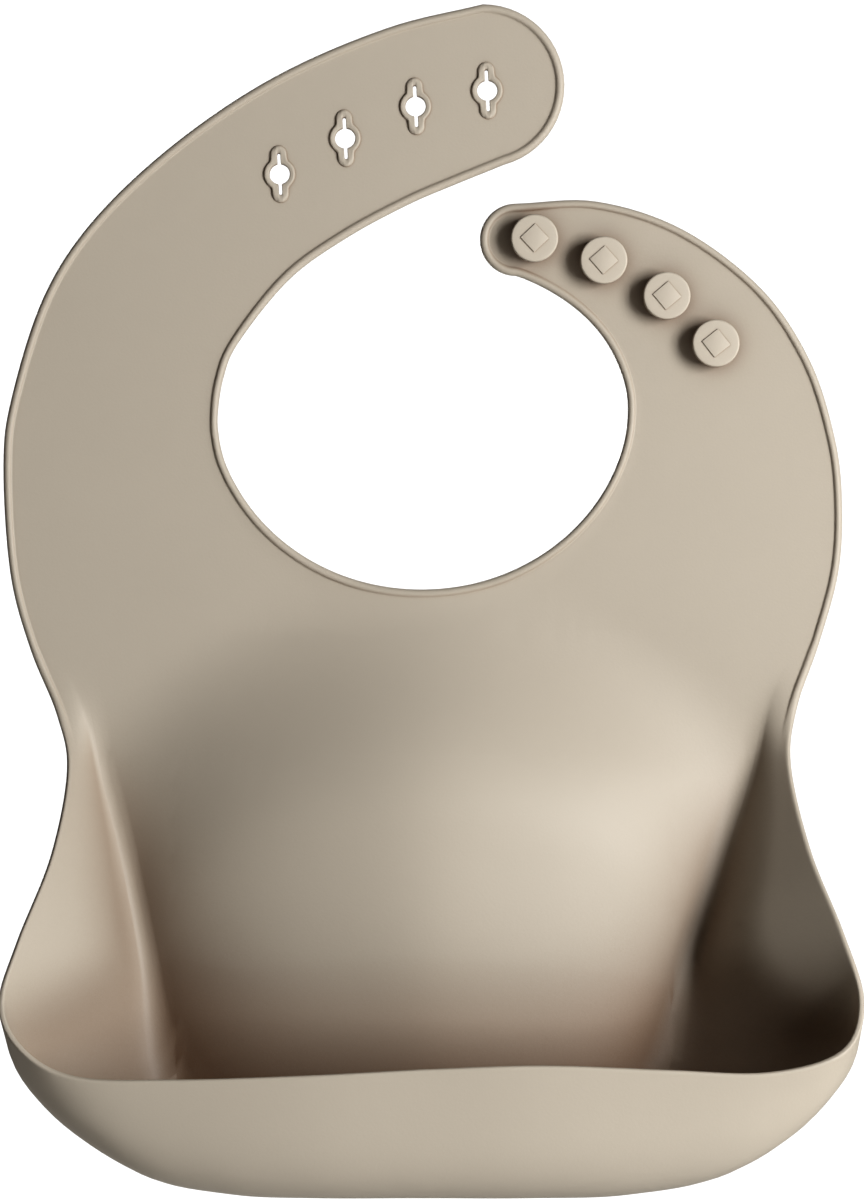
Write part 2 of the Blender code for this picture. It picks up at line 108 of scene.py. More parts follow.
# Where the back turns into the floor and the side walls, from the middle outwards, as (x, z)
leftCrease = ((0, -200.8), (-22, -200.8), (-42, -200.3), (-56, -197), (-64.5, -187), (-69, -170), (-73, -148),
              (-78.5, -121), (-84.5, -97))
rightCrease = ((0, -200.8), (22, -200.8), (39, -200.3), (51, -197), (58.5, -187), (64, -170), (69.5, -148),
               (77.5, -121), (85.5, -97))
# Where the floor turns into the front wall, as (x, y, z)
leftToe = ((0, -57, -200.8), (-30, -56.5, -200.8), (-50, -54, -200.2), (-72.5, -50, -195.8),
           (-94.5, -44, -181), (-101, -37, -167))
rightToe = ((0, -57, -200.8), (30, -56.5, -200.8), (56, -54, -200.2), (81, -50, -195), (99.5, -45, -181),
            (106, -38, -165))
# Radius of that turn at each knot, from the middle of the lip up to the waist
leftFoldRadius = (19, 19, 19, 18, 16, 12, 10, 9, 6, 5, 4, 4)
rightFoldRadius = (19, 19, 19, 17, 13, 9, 7, 6, 5, 4, 4, 4)
# Direction from the neck's centre in which each cross line leaves the neck edge, degrees
neckDirectionLeft = (-90, -98, -106, -113, -119, -126, -133, -141, -149, -156, -164, -174, -182, -190, -200,
                     -212, -227, -246, -267, -288.8)
neckDirectionRight = (-90, -82, -74, -67, -61, -54, -47, -39, -31, -24, -16, -7, -1, 4, 10, 19, 30,
                      42.5, 53.4)

# Rounded end of each strap: its centre, and the turn from the outer edge round to the neck edge
keyholeTip = {"centre": (15.3, 81.6), "turn": 165.0}
buttonTip = {"centre": (23.9, 41.6), "turn": -180.0, "radius": 9.4}


def curveAt(knots, t):
    # a smooth curve through the knots, at the count t along them
    points = np.array(knots, float)
    if points.ndim == 1:
        points = points[:, None]
    points = np.vstack([2 * points[0] - points[1], points, 2 * points[-1] - points[-2]])
    i = min(max(int(math.floor(t)), 0), len(knots) - 2)
    t -= i
    a, b, c, d = points[i:i + 4]
    square, cube = 2 * a - 5 * b + 4 * c - d, 3 * b - a - 3 * c + d
    return 0.5 * (2 * b + (c - a) * t + square * t * t + cube * t ** 3)


def smooth(value):
    value = min(max(value, 0.0), 1.0)
    return value * value * (3 - 2 * value)


def ellipsePoint(degrees, rise):
    a = math.radians(degrees)
    start, over = sheet["pinchTurn"]
    width = sheet["neckHalfWidth"] - sheet["neckPinch"] * smooth((degrees - start) / over)
    return (sheet["neckCentre"][0] + width * math.cos(a), rise * math.sin(a))


def makeNeckEdge():
    # from the button strap's end, round the opening, to the keyhole strap's end
    path = [(buttonTip["centre"][0], buttonTip["centre"][1] - buttonTip["radius"])]
    path += [ellipsePoint(a, sheet["neckRise"]) for a in range(60, 0, -2)]
    path += [ellipsePoint(a, sheet["neckDrop"]) for a in range(0, -155, -2)]
    count = len(strapInnerEdge) - 1
    path += [tuple(curveAt(strapInnerEdge, count - k / 12)) for k in range(count * 12 + 1)]
    path = np.array(path)
    angle = np.degrees(np.unwrap(np.arctan2(path[:, 1], path[:, 0])))
    return path, angle


neckPath, neckAngle = makeNeckEdge()


def neckPoint(u):
    knots = neckDirectionLeft if u < 0 else neckDirectionRight
    wanted = curveAt(knots, abs(u))[0]
    x = np.interp(-wanted, -neckAngle, neckPath[:, 0])
    z = np.interp(-wanted, -neckAngle, neckPath[:, 1])
    return np.array((x, 0.0, z))


def edgePoint(u):
    t = abs(u)
    if t <= sheet["waistKnot"]:
        point = curveAt(leftRim if u < 0 else rightRim, t)
        point[1] *= 1 - smooth(t - sheet["waistKnot"] + 1)
        return point
    knots = leftEdge if u < 0 else rightEdge
    x, z = curveAt(knots, len(knots) - 1 - (t - sheet["waistKnot"] + 1))
    return np.array((x, 0.0, z))


def inwardAt(u):
    # unit vector from the outer edge towards the neck, in the sheet
    step = 0.03 if u > 0 else -0.03
    along = edgePoint(u + step) - edgePoint(u - step)
    side = np.array((-along[2], 0.0, along[0]))
    side /= np.linalg.norm(side)
    toNeck = neckPoint(u) - edgePoint(u)
    return side if np.dot(side, toNeck) > 0 else -side


# Half width of the belly at each depth below the neck's centre, left and right
bellyLevels = (97, 121, 148, 170, 187, 201)
bellyLeft = (84.5, 78.5, 73, 69, 67, 66)
bellyRight = (85.5, 77.5, 69.5, 64, 62, 61)


def bellyDepth(x, z):
    # the back stands forward between the side creases as a wide rounded ridge
    halfWidth = np.interp(-z, bellyLevels, bellyLeft if x < 0 else bellyRight)
    share = min(abs(x) / halfWidth, 1.0)
    c = sheet["bellyRidge"]
    across = (math.hypot(1, c) - math.hypot(share, c)) / (math.hypot(1, c) - c)
    across += (1 - share ** 4 - across) * sheet["bellyFullness"]
    top, drop, rise = sheet["bellyTop"]
    low, length, loss = sheet["bellyBottom"]
    along = smooth((top + drop * share ** 2 - z) / rise) * (1 - loss * smooth((low - z) / length))
    return -sheet["bellyBulge"] * across * along


def foldPoint(u):
    t = abs(u)
    if t >= sheet["waistKnot"]:
        return edgePoint(u) + inwardAt(u) * sheet["foldInset"]
    crease = leftCrease if u < 0 else rightCrease
    sign = -1 if u < 0 else 1
    knots = [(x, z) for x, z in crease]
    for k in (9, 10, 11):
        p = edgePoint(sign * k) + inwardAt(sign * k) * sheet["foldInset"]
        knots.append((p[0], p[2]))
    x, z = curveAt(knots, t)
    return np.array((x, bellyDepth(x, z), z))


def sideToe(u):
    fold, edge = foldPoint(u), edgePoint(u)
    return fold + (edge - fold) * np.array(sheet["wallFlare"])


def toePoint(u):
    # below the seventh knot the floor's front edge is drawn in the tables, above it the wall only flares
    t = abs(u)
    sign = -1 if u < 0 else 1
    if t >= 7:
        return sideToe(u)
    knots = list(leftToe if u < 0 else rightToe)
    knots += [tuple(sideToe(sign * k)) for k in (6, 7, 8)]
    return curveAt(knots, t)


def bend(start, corner, end):
    # points round a fold, after its start
    shares = np.linspace(0, 1, sheet["foldSteps"] + 1)[1:]
    return [(1 - s) ** 2 * start + 2 * s * (1 - s) * corner + s * s * end for s in shares]


def crossLine(u):
    # one line over the sheet's middle surface, with the lengths at which it passes the two folds
    neck, fold, toe, edge = neckPoint(u), foldPoint(u), toePoint(u), edgePoint(u)
    t = abs(u)
    if t >= sheet["waistKnot"]:
        path = [neck + (edge - neck) * s for s in np.linspace(0, 1, 60)]
        total = np.linalg.norm(edge - neck)
        return np.array(path), total - sheet["foldInset"], total - sheet["toeInset"]
    radius = curveAt(leftFoldRadius if u < 0 else rightFoldRadius, t)[0]
    middleOfFold = sheet["foldSteps"] // 2 + 1
    path = []
    for w in np.linspace(0, 1, 120):
        p = neck + (fold - neck) * w
        p[1] = bellyDepth(p[0], p[2])
        path.append(p)
    path = [p for p in path if np.linalg.norm(p - fold) > radius * 0.95]
    across = toe - fold
    width = np.linalg.norm(across)
    across = across / width
    reach = min(radius, 0.5 * width)
    path += bend(path[-1], fold, fold + across * reach)
    first = len(path) - middleOfFold
    up = edge - toe
    height = np.linalg.norm(up)
    up = up / height
    reach = min(radius, 0.5 * width, 0.6 * height)
    path.append(toe - across * reach)
    path += bend(path[-1], toe, toe + up * reach)
    second = len(path) - middleOfFold
    path += [toe + up * s for s in np.linspace(reach, height, 12)[1:]]
    path = np.array(path)
    length = np.concatenate([[0], np.cumsum(np.linalg.norm(np.diff(path, axis=0), axis=1))])
    share = smooth(t - sheet["waistKnot"] + 1)
    foldAt = length[first] * (1 - share) + (length[-1] - sheet["foldInset"]) * share
    toeAt = length[second] * (1 - share) + (length[-1] - sheet["toeInset"]) * share
    return path, foldAt, toeAt


def stations(total, foldAt, toeAt, even):
    # distances of the rows along a cross line: bead rows at both ends, even or folded rows between
    steps = [d for d, h in beadSection]
    inner = steps[-1]
    folded = np.concatenate([np.linspace(inner, foldAt, sheet["rowsBack"] + 1)[:-1],
                             np.linspace(foldAt, toeAt, sheet["rowsFloor"] + 1)[:-1],
                             np.linspace(toeAt, total - inner, sheet["rowsWall"] + 1)])
    spread = np.linspace(inner, total - inner, len(folded))
    middle = folded * (1 - even) + spread * even
    return np.concatenate([steps[:-1], middle, [total - d for d in reversed(steps[:-1])]])


def makeSheetGrid():
    # points[column][row] over the middle surface
    count = (sheet["knotsLeft"] + sheet["knotsRight"]) * sheet["stepsPerKnot"] + 1
    uStops = np.linspace(-sheet["knotsLeft"], sheet["knotsRight"], count)
    evenFrom, evenTo = sheet["evenKnots"]
    grid = []
    lengths = []
    for u in uStops:
        path, foldAt, toeAt = crossLine(u)
        length = np.concatenate([[0], np.cumsum(np.linalg.norm(np.diff(path, axis=0), axis=1))])
        where = stations(length[-1], foldAt, toeAt, smooth((abs(u) - evenFrom) / (evenTo - evenFrom)))
        line = np.array([[np.interp(w, length, path[:, c]) for c in range(3)] for w in where])
        grid.append(line)
        lengths.append(where / length[-1])
    grid = np.array(grid)
    # the last lines of each strap bend to pass through the centre of its rounded end
    for tip, index, knot in ((keyholeTip, 0, sheet["knotsLeft"]), (buttonTip, -1, sheet["knotsRight"])):
        centre = np.array((tip["centre"][0], 0.0, tip["centre"][1]))
        neck, edge = grid[index][0], grid[index][-1]
        share = lengths[index]
        straight = neck + (edge - neck) * share[:, None]
        bent = np.where(share[:, None] < 0.5, neck + (centre - neck) * share[:, None] * 2,
                        centre + (edge - centre) * (share[:, None] - 0.5) * 2)
        for i, u in enumerate(uStops):
            if (u < 0) == (index == 0):
                grid[i] += (bent - straight) * smooth((abs(u) - knot + 2) / 2)
        # the neck half of the last line is the outer half turned round the centre, so that the end closes
        turned = np.array(Matrix.Rotation(math.radians(tip["turn"]), 3, "Y"))
        half = grid.shape[1] // 2
        grid[index, :half] = centre + (grid[index, :half:-1] - centre) @ turned.T
    return uStops, grid


uStops, grid = makeSheetGrid()
print("sheet laid out:", grid.shape[0], "x", grid.shape[1], "points")


def sectionAt(section, distance):
    return np.interp(distance, [d for d, h in section], [h for d, h in section])


def faceOffsets(grid):
    # how far the front and the back face stand off the middle surface, row by row
    along = np.concatenate([np.zeros((grid.shape[0], 1)),
                            np.cumsum(np.linalg.norm(np.diff(grid, axis=1), axis=2), axis=1)], axis=1)
    distance = np.minimum(along, along[:, -1:] - along)
    fadeFrom, fadeTo = sheet["beadEnds"]
    share = np.array([1 - smooth((fadeTo - abs(u)) / (fadeTo - fadeFrom)) for u in uStops])
    share = np.repeat(share[:, None], grid.shape[1], axis=1)
    share[:, :grid.shape[1] // 2] = 1.0  # the neck edge keeps its bead all the way round
    half = sheet["thickness"] / 2
    front = half + sectionAt(beadSection, distance) * share + sectionAt(plainSection, distance) * (1 - share)
    back = half + sectionAt(backSection, distance)
    return front, back


def surfaceNormals(grid):
    across = np.gradient(grid, axis=0)
    down = np.gradient(grid, axis=1)
    normal = np.cross(down, across)
    normal /= np.maximum(np.linalg.norm(normal, axis=2, keepdims=True), 1e-9)
    return normal


def gridMesh(points):
    # a flat grid whose vertices are laid on the given points, each keeping its column and row
    columns, rows = points.shape[:2]
    bm = bmesh.new()
    bmesh.ops.create_grid(bm, x_segments=columns - 1, y_segments=rows - 1, size=0.5)
    column = bm.verts.layers.float.new("column")
    row = bm.verts.layers.float.new("row")
    for vert in bm.verts:
        i = round((vert.co.x + 0.5) * (columns - 1))
        j = round((vert.co.y + 0.5) * (rows - 1))
        vert[column], vert[row] = i, j
        vert.co = points[i, j]
    return bm


def roundEnd(bm, column, tip):
    # the half line from the strap's centre out to its edge is spun round the strap's end
    columnLayer = bm.verts.layers.float["column"]
    rowLayer = bm.verts.layers.float["row"]
    middle = (grid.shape[1] - 1) // 2
    line = {v for v in bm.verts if v[columnLayer] == column and v[rowLayer] >= middle}
    edges = {e for v in line for e in v.link_edges if e.other_vert(v) in line}
    bmesh.ops.spin(bm, geom=list(line) + list(edges), cent=(tip["centre"][0], 0, tip["centre"][1]),
                   axis=(0, 1, 0), dvec=(0, 0, 0), angle=math.radians(tip["turn"]), steps=sheet["capSteps"],
                   use_duplicate=False)


def facingOut(bm):
    bmesh.ops.recalc_face_normals(bm, faces=bm.faces)
    if bm.calc_volume(signed=True) < 0:
        bmesh.ops.reverse_faces(bm, faces=bm.faces)


def makeMiddleSurface():
    # the sheet's middle surface in one skin; every vertex keeps its normal and its offsets to the two faces
    front, back = faceOffsets(grid)
    normal = surfaceNormals(grid)
    bm = gridMesh(grid)
    column = bm.verts.layers.float["column"]
    row = bm.verts.layers.float["row"]
    away = bm.verts.layers.float_vector.new("away")
    frontOffset = bm.verts.layers.float.new("frontOffset")
    backOffset = bm.verts.layers.float.new("backOffset")
    for vert in bm.verts:
        i, j = int(vert[column]), int(vert[row])
        vert[away] = Vector(normal[i, j])
        vert[frontOffset] = front[i, j]
        vert[backOffset] = back[i, j]
    roundEnd(bm, 0, keyholeTip)
    roundEnd(bm, grid.shape[0] - 1, buttonTip)
    bmesh.ops.remove_doubles(bm, verts=bm.verts, dist=0.004)
    return bm


def thicken(bm):
    # the skin is doubled with a wall round its border, then each face moves out to its own side
    away = bm.verts.layers.float_vector["away"]
    frontOffset = bm.verts.layers.float["frontOffset"]
    backOffset = bm.verts.layers.float["backOffset"]
    side = bm.verts.layers.int.new("side")
    made = bmesh.ops.extrude_face_region(bm, geom=bm.faces[:], use_keep_orig=True)
    for vert in [g for g in made["geom"] if isinstance(g, bmesh.types.BMVert)]:
        vert[side] = 1
    for vert in bm.verts:
        reach = -vert[backOffset] if vert[side] else vert[frontOffset]
        vert.co += vert[away].normalized() * reach
    facingOut(bm)


# Where the moulding divides into its named lengths, millimetres and degrees round the neck opening
division = {
    "strapRootZ": -9.0,
    "chestZ": -60.0,
    "bellyZ": -92.0,
    "wallX": 64.0,
    "buttonTurns": (15.0, 42.3),
    "keyholeTurns": (155.0, 115.0),
    "cutReach": 12.0,  # only faces this near a dividing line are cut along it
    "turnReach": 9.0,
    "opening": 30.0,  # and only on the side of the neck opening where the line points
    "foldRow": len(beadSection) - 1 + sheet["rowsBack"],
    "toeRow": len(beadSection) - 1 + sheet["rowsBack"] + sheet["rowsFloor"],
}


def cutAlong(bm, point, normal, keep):
    # cuts the faces whose centres pass the test along a plane, and leaves everything in place
    faces = [f for f in bm.faces if keep(f.calc_center_median())]
    geom = set(faces) | {e for f in faces for e in f.edges} | {v for f in faces for v in f.verts}
    bmesh.ops.bisect_plane(bm, geom=list(geom), dist=0.0001, plane_co=point, plane_no=normal)


def sliceMiddleSurface(bm):
    d = division
    for z in (d["strapRootZ"], d["chestZ"], d["bellyZ"]):
        cutAlong(bm, (0, 0, z), (0, 0, 1), lambda c: abs(c.z - z) < d["cutReach"])
    for x in (-d["wallX"], d["wallX"]):
        cutAlong(bm, (x, 0, 0), (1, 0, 0), lambda c: abs(c.x - x) < d["cutReach"] and c.z < d["bellyZ"])
    for turn in d["buttonTurns"] + d["keyholeTurns"]:
        a = math.radians(turn)
        ray = Vector((math.cos(a), 0, math.sin(a)))
        across = Vector((-math.sin(a), 0, math.cos(a)))
        cutAlong(bm, (0, 0, 0), across,
                 lambda c: abs(c.dot(across)) < d["turnReach"] and c.dot(ray) > d["opening"])


def pieceOf(centre, column, row):
    d = division
    middle = sheet["knotsLeft"] * sheet["stepsPerKnot"]
    if centre.z > d["strapRootZ"]:
        turn = math.degrees(math.atan2(centre.z, centre.x))
        if column > middle:
            first, second = d["buttonTurns"]
            return "buttonStrap" + ("Root" if turn < first else "Mid" if turn < second else "Tip")
        first, second = d["keyholeTurns"]
        return "keyholeStrap" + ("Root" if turn > first or turn < -90 else "Mid" if turn > second else "Tip")
    if centre.z > d["chestZ"]:
        return "chestPanel"
    if centre.z > d["bellyZ"] or row < d["foldRow"]:
        return "bellyPanel"
    if centre.x < -d["wallX"]:
        return "pocketLeftWall"
    if centre.x > d["wallX"]:
        return "pocketRightWall"
    return "pocketFloor" if row < d["toeRow"] else "pocketFrontWall"


def splitIntoPieces(bm):
    # every face is marked with its piece; each piece is then thickened from its own faces, and keeps the
    # whole sheet's normals so that nothing shows where two pieces meet
    column = bm.verts.layers.float["column"]
    row = bm.verts.layers.float["row"]
    mark = bm.faces.layers.int.new("piece")
    tag = bm.verts.layers.int.new("tag")
    for index, vert in enumerate(bm.verts):
        vert[tag] = index
    names = []
    for face in bm.faces:
        count = len(face.verts)
        name = pieceOf(face.calc_center_median(), sum(v[column] for v in face.verts) / count,
                       sum(v[row] for v in face.verts) / count)
        if name not in names:
            names.append(name)
        face[mark] = names.index(name)
    whole = bm.copy()
    thicken(whole)
    whole.normal_update()
    tag, side = whole.verts.layers.int["tag"], whole.verts.layers.int["side"]
    normals = {(v[tag], v[side]): v.normal.copy() for v in whole.verts}
    whole.free()
    shapes = {}
    for index, name in enumerate(names):
        part = bm.copy()
        mark = part.faces.layers.int["piece"]
        bmesh.ops.delete(part, geom=[f for f in part.faces if f[mark] != index], context="FACES")
        thicken(part)
        tag, side = part.verts.layers.int["tag"], part.verts.layers.int["side"]
        row = part.verts.layers.float["row"]
        smoothed = part.verts.layers.float_vector.new("sheetNormal")
        for vert in part.verts:
            vert[smoothed] = normals[(vert[tag], vert[side])]
        seam = part.faces.layers.int.new("seam")
        last = grid.shape[1] - 1
        for face in part.faces:
            if {v[side] for v in face.verts} == {0, 1}:
                rows = [v[row] for v in face.verts]
                face[seam] = int(not (max(rows) < 0.01 or min(rows) > last - 0.01))
        shapes[name] = part
    return shapes


def finishObject(bm, name, material):
    # a finished piece's mesh in metres, smooth but for its sharp corners
    bmesh.ops.scale(bm, vec=(mm, mm, mm), verts=bm.verts)
    mesh = bpy.data.meshes.new(name)
    bm.to_mesh(mesh)
    bm.free()
    mesh.shade_smooth()
    mesh.set_sharp_from_angle(angle=math.radians(sheet["sharpAngle"]))
    mesh.materials.append(material)
    piece = bpy.data.objects.new(name, mesh)
    bpy.context.scene.collection.objects.link(piece)
    return piece


def keepSheetNormals(mesh):
    # the surface shades as one moulding across the divisions, so no line shows where two lengths meet
    if "sheetNormal" not in mesh.attributes or "seam" not in mesh.attributes:
        return
    normal = np.zeros(len(mesh.vertices) * 3, np.float32)
    mesh.attributes["sheetNormal"].data.foreach_get("vector", normal)
    normal = normal.reshape(-1, 3)
    seam = np.zeros(len(mesh.polygons), np.int32)
    mesh.attributes["seam"].data.foreach_get("value", seam)
    touching = np.zeros(len(mesh.vertices), bool)
    for polygon in mesh.polygons:
        if seam[polygon.index]:
            touching[list(polygon.vertices)] = True
    wanted = np.zeros((len(mesh.loops), 3), np.float32)
    for polygon in mesh.polygons:
        if not seam[polygon.index]:
            for loop in polygon.loop_indices:
                vertex = mesh.loops[loop].vertex_index
                if touching[vertex]:
                    wanted[loop] = normal[vertex]
    mesh.normals_split_custom_set(wanted.tolist())


# Materials
finish = {
    "colour": (0.45, 0.402, 0.336),
    "studColour": (0.51, 0.457, 0.385),
    "roughness": 0.52,
    "specular": 0.35,
    "mottle": 0.05,  # how much darker the darkest patches are
    "mottleScale": 28,
    "grainScale": 1400,
    "grainStrength": 0.12,
    "grainDepth": 0.0002,
    "paintedShadeReach": 0.06,  # how far apart two walls may stand and still give each other painted shade, in metres
    "paintedShadeTint": (0.34, 0.2, 0.12),  # the painted shade's warm dark tint in the deepest corners
    "paintedShadeRange": (0.25, 0.95),  # openness at which the painted shade is full, and at which it is gone
}


def makeSilicone(name, colour):
    material = bpy.data.materials.new(name)
    material.use_nodes = True
    nodes = material.node_tree.nodes
    links = material.node_tree.links
    shader = nodes["Principled BSDF"]
    place = nodes.new("ShaderNodeTexCoord")
    cloud = nodes.new("ShaderNodeTexNoise")
    cloud.inputs["Scale"].default_value = finish["mottleScale"]
    cloud.inputs["Detail"].default_value = 3
    tint = nodes.new("ShaderNodeMixRGB")
    tint.inputs["Color1"].default_value = (*colour, 1)
    tint.inputs["Color2"].default_value = (*[c * (1 - finish["mottle"]) for c in colour], 1)
    # painted shade: the occlusion value makes the base colour warmer and darker where walls face each other,
    # standing in for the shade and warm bounced light between them
    paintedShadeOcclusion = nodes.new("ShaderNodeAmbientOcclusion")
    paintedShadeOcclusion.samples = 12
    paintedShadeOcclusion.inputs["Distance"].default_value = finish["paintedShadeReach"]
    opening = nodes.new("ShaderNodeMapRange")
    opening.inputs["From Min"].default_value = finish["paintedShadeRange"][0]
    opening.inputs["From Max"].default_value = finish["paintedShadeRange"][1]
    paintedShadeMix = nodes.new("ShaderNodeMixRGB")
    paintedShadeMix.inputs["Color1"].default_value = (*finish["paintedShadeTint"], 1)
    paintedShadeMix.inputs["Color2"].default_value = (1, 1, 1, 1)
    colourWithPaintedShade = nodes.new("ShaderNodeMixRGB")
    colourWithPaintedShade.blend_type = "MULTIPLY"
    colourWithPaintedShade.inputs["Fac"].default_value = 1
    grain = nodes.new("ShaderNodeTexNoise")
    grain.inputs["Scale"].default_value = finish["grainScale"]
    grain.inputs["Detail"].default_value = 2
    bump = nodes.new("ShaderNodeBump")
    bump.inputs["Strength"].default_value = finish["grainStrength"]
    bump.inputs["Distance"].default_value = finish["grainDepth"]
    links.new(place.outputs["Object"], cloud.inputs["Vector"])
    links.new(place.outputs["Object"], grain.inputs["Vector"])
    links.new(cloud.outputs["Fac"], tint.inputs["Fac"])
    links.new(paintedShadeOcclusion.outputs["AO"], opening.inputs["Value"])
    links.new(opening.outputs["Result"], paintedShadeMix.inputs["Fac"])
    links.new(tint.outputs["Color"], colourWithPaintedShade.inputs["Color1"])
    links.new(paintedShadeMix.outputs["Color"], colourWithPaintedShade.inputs["Color2"])
    links.new(colourWithPaintedShade.outputs["Color"], shader.inputs["Base Color"])
    links.new(grain.outputs["Fac"], bump.inputs["Height"])
    links.new(bump.outputs["Normal"], shader.inputs["Normal"])
    shader.inputs["Roughness"].default_value = finish["roughness"]
    shader.inputs["Specular IOR Level"].default_value = finish["specular"]
    return material


# both silicones carry the painted shade in the pocket's hollows and creases
silicone = makeSilicone("greigeSilicone", finish["colour"])
studSilicone = makeSilicone("greigeStudSilicone", finish["studColour"])


# Keyholes
keyhole = {
    "places": ((-37.5, 58.6), (-20.5, 67.9), (-2.2, 76.2), (16.4, 80.3)),
    "pieces": ("keyholeStrapMid", "keyholeStrapTip", "keyholeStrapTip", "keyholeStrapTip"),
    "bodies": ("keyhole_strap_mid", "keyhole_strap_mid", "keyhole_strap_tip", "keyhole_strap_tip"),
    "lean": 3.0,
    "holeRadius": 2.63,
    "slitHalf": 0.43,
    "slitReach": 5.4,
    "rimRadius": 4.13,
    "lobeHalf": 2.15,
    "lobeReach": 7.45,
    "cornerPower": 14,  # the higher, the sharper the corner between the round part and the arms
    "steps": 168,
    "crowding": 0.46,  # how far the steps draw together at the arms
    "cutClearance": 0.05,  # the cut runs this far inside the rim's outline
    "cutDepths": (3.0, -5.0),  # from above the front face to below the back face
}
# Section of the rim: share of the way out from the hole, height over the sheet's face
rimSection = ((0.0, -1.5), (0.0, 0.3), (0.05, 0.48), (0.16, 0.6), (0.32, 0.62), (0.5, 0.68), (0.66, 0.7),
              (0.8, 0.64), (0.92, 0.46), (0.99, 0.2), (1.0, -0.02), (1.0, -1.5), (0.0, -1.5))


def keyholeLine(radius, half, reach, lean):
    # a circle with a rounded arm above and below, run round once; the steps crowd together at the arms
    points = []
    for step in range(keyhole["steps"] + 1):
        t = 2 * math.pi * step / keyhole["steps"]
        a = t + keyhole["crowding"] * math.sin(2 * t)
        side, up = abs(math.cos(a)), abs(math.sin(a))
        arm = half / max(side, 1e-6)
        if arm * up > reach - half:
            shift = (reach - half) * up
            arm = shift + math.sqrt(max(half ** 2 - (reach - half) ** 2 + shift ** 2, 0))
        power = keyhole["cornerPower"]
        r = (radius ** power + arm ** power) ** (1 / power) if arm < 3 * radius else max(radius, arm)
        points.append((r * math.cos(a + lean), r * math.sin(a + lean)))
    return np.array(points)


def keyholeWall(x, z, section, hole, rim):
    points = np.zeros((len(hole), len(section), 3))
    for j, (share, height) in enumerate(section):
        flat = hole + (rim - hole) * share
        points[:, j, 0] = x + flat[:, 0]
        points[:, j, 1] = -sheet["thickness"] / 2 - height
        points[:, j, 2] = z + flat[:, 1]
    return points


def makeRim(index):
    x, z = keyhole["places"][index]
    lean = math.radians(keyhole["lean"])
    hole = keyholeLine(keyhole["holeRadius"], keyhole["slitHalf"], keyhole["slitReach"], lean)
    rim = keyholeLine(keyhole["rimRadius"], keyhole["lobeHalf"], keyhole["lobeReach"], lean)
    bm = gridMesh(keyholeWall(x, z, rimSection, hole, rim))
    bmesh.ops.remove_doubles(bm, verts=bm.verts, dist=0.001)
    facingOut(bm)
    return bm


def makeKeyholeCutter(index):
    # fills the rim's own outline, a hair inside it, right through the sheet
    x, z = keyhole["places"][index]
    lean = math.radians(keyhole["lean"])
    inside = [keyhole[side] - keyhole["cutClearance"] for side in ("rimRadius", "lobeHalf", "lobeReach")]
    rim = keyholeLine(*inside, lean)
    bm = gridMesh(keyholeWall(x, z, [(1.0, depth) for depth in keyhole["cutDepths"]], rim, rim))
    bmesh.ops.remove_doubles(bm, verts=bm.verts, dist=0.001)
    bmesh.ops.holes_fill(bm, edges=[e for e in bm.edges if e.is_boundary], sides=0)
    bmesh.ops.triangulate(bm, faces=[f for f in bm.faces if len(f.verts) > 4])
    facingOut(bm)
    return bm


def cutKeyhole(piece, index):
    cutter = finishObject(makeKeyholeCutter(index), "keyholeCutter", silicone)
    cutting = piece.modifiers.new("keyhole", "BOOLEAN")
    cutting.operation = "DIFFERENCE"
    cutting.solver = "EXACT"
    cutting.object = cutter
    evaluated = piece.evaluated_get(bpy.context.evaluated_depsgraph_get())
    piece.data = bpy.data.meshes.new_from_object(evaluated)
    piece.modifiers.remove(cutting)
    piece.data.set_sharp_from_angle(angle=math.radians(sheet["sharpAngle"]))
    bpy.data.objects.remove(cutter)


# The sheet's pieces
middleSurface = makeMiddleSurface()
sliceMiddleSurface(middleSurface)
shapes = splitIntoPieces(middleSurface)
middleSurface.free()
print("sheet divided into", len(shapes), "pieces")


# Where the moulding bends, millimetres and degrees round the neck opening
flex = {
    "waist": (-64.0, -86.0),  # heights over which the belly bends away from the yoke
    "front": (-21.0, -60.0),  # depths over which floor and walls bend away from the pocket's back
    "strapRadius": 76.0,  # distance from the neck's centre to the middle of a strap
    # for root, mid and tip: the fold line's direction, and how far before and past it the bend runs
    "button": ((0, -7.0, 8.0), (30, -5.0, 5.0), (47, -4.5, 4.5)),
    "keyhole": ((180, 7.0, -8.0), (131, 8.0, -4.5), (99, 4.5, -4.5)),
}


def strapPoint(degrees, offset):
    # a point on a strap, an offset past the fold line that runs out from the neck at this angle
    a = math.radians(degrees)
    outward, along = Vector((math.cos(a), 0, math.sin(a))), Vector((-math.sin(a), 0, math.cos(a)))
    return (outward * flex["strapRadius"] + along * offset) * mm


def makeBends():
    # the two bodies each piece bends between, and the points where its bend starts and ends
    high, low = [Vector((0, 0, z)) * mm for z in flex["waist"]]
    near, far = [Vector((0, y, 0)) * mm for y in flex["front"]]
    bends = {"bellyPanel": ("yoke", "pocket_half", high, low)}
    for name in ("pocketFloor", "pocketFrontWall", "pocketLeftWall", "pocketRightWall"):
        bends[name] = ("pocket_half", "pocket_front", near, far)
    for strap in ("button", "keyhole"):
        body = "yoke"
        for length, (degrees, before, past) in zip(("Root", "Mid", "Tip"), flex[strap]):
            nextBody = strap + "_strap_" + length.lower()
            ends = strapPoint(degrees, before), strapPoint(degrees, past)
            bends[strap + "Strap" + length] = (body, nextBody, *ends)
            body = nextBody
    return bends


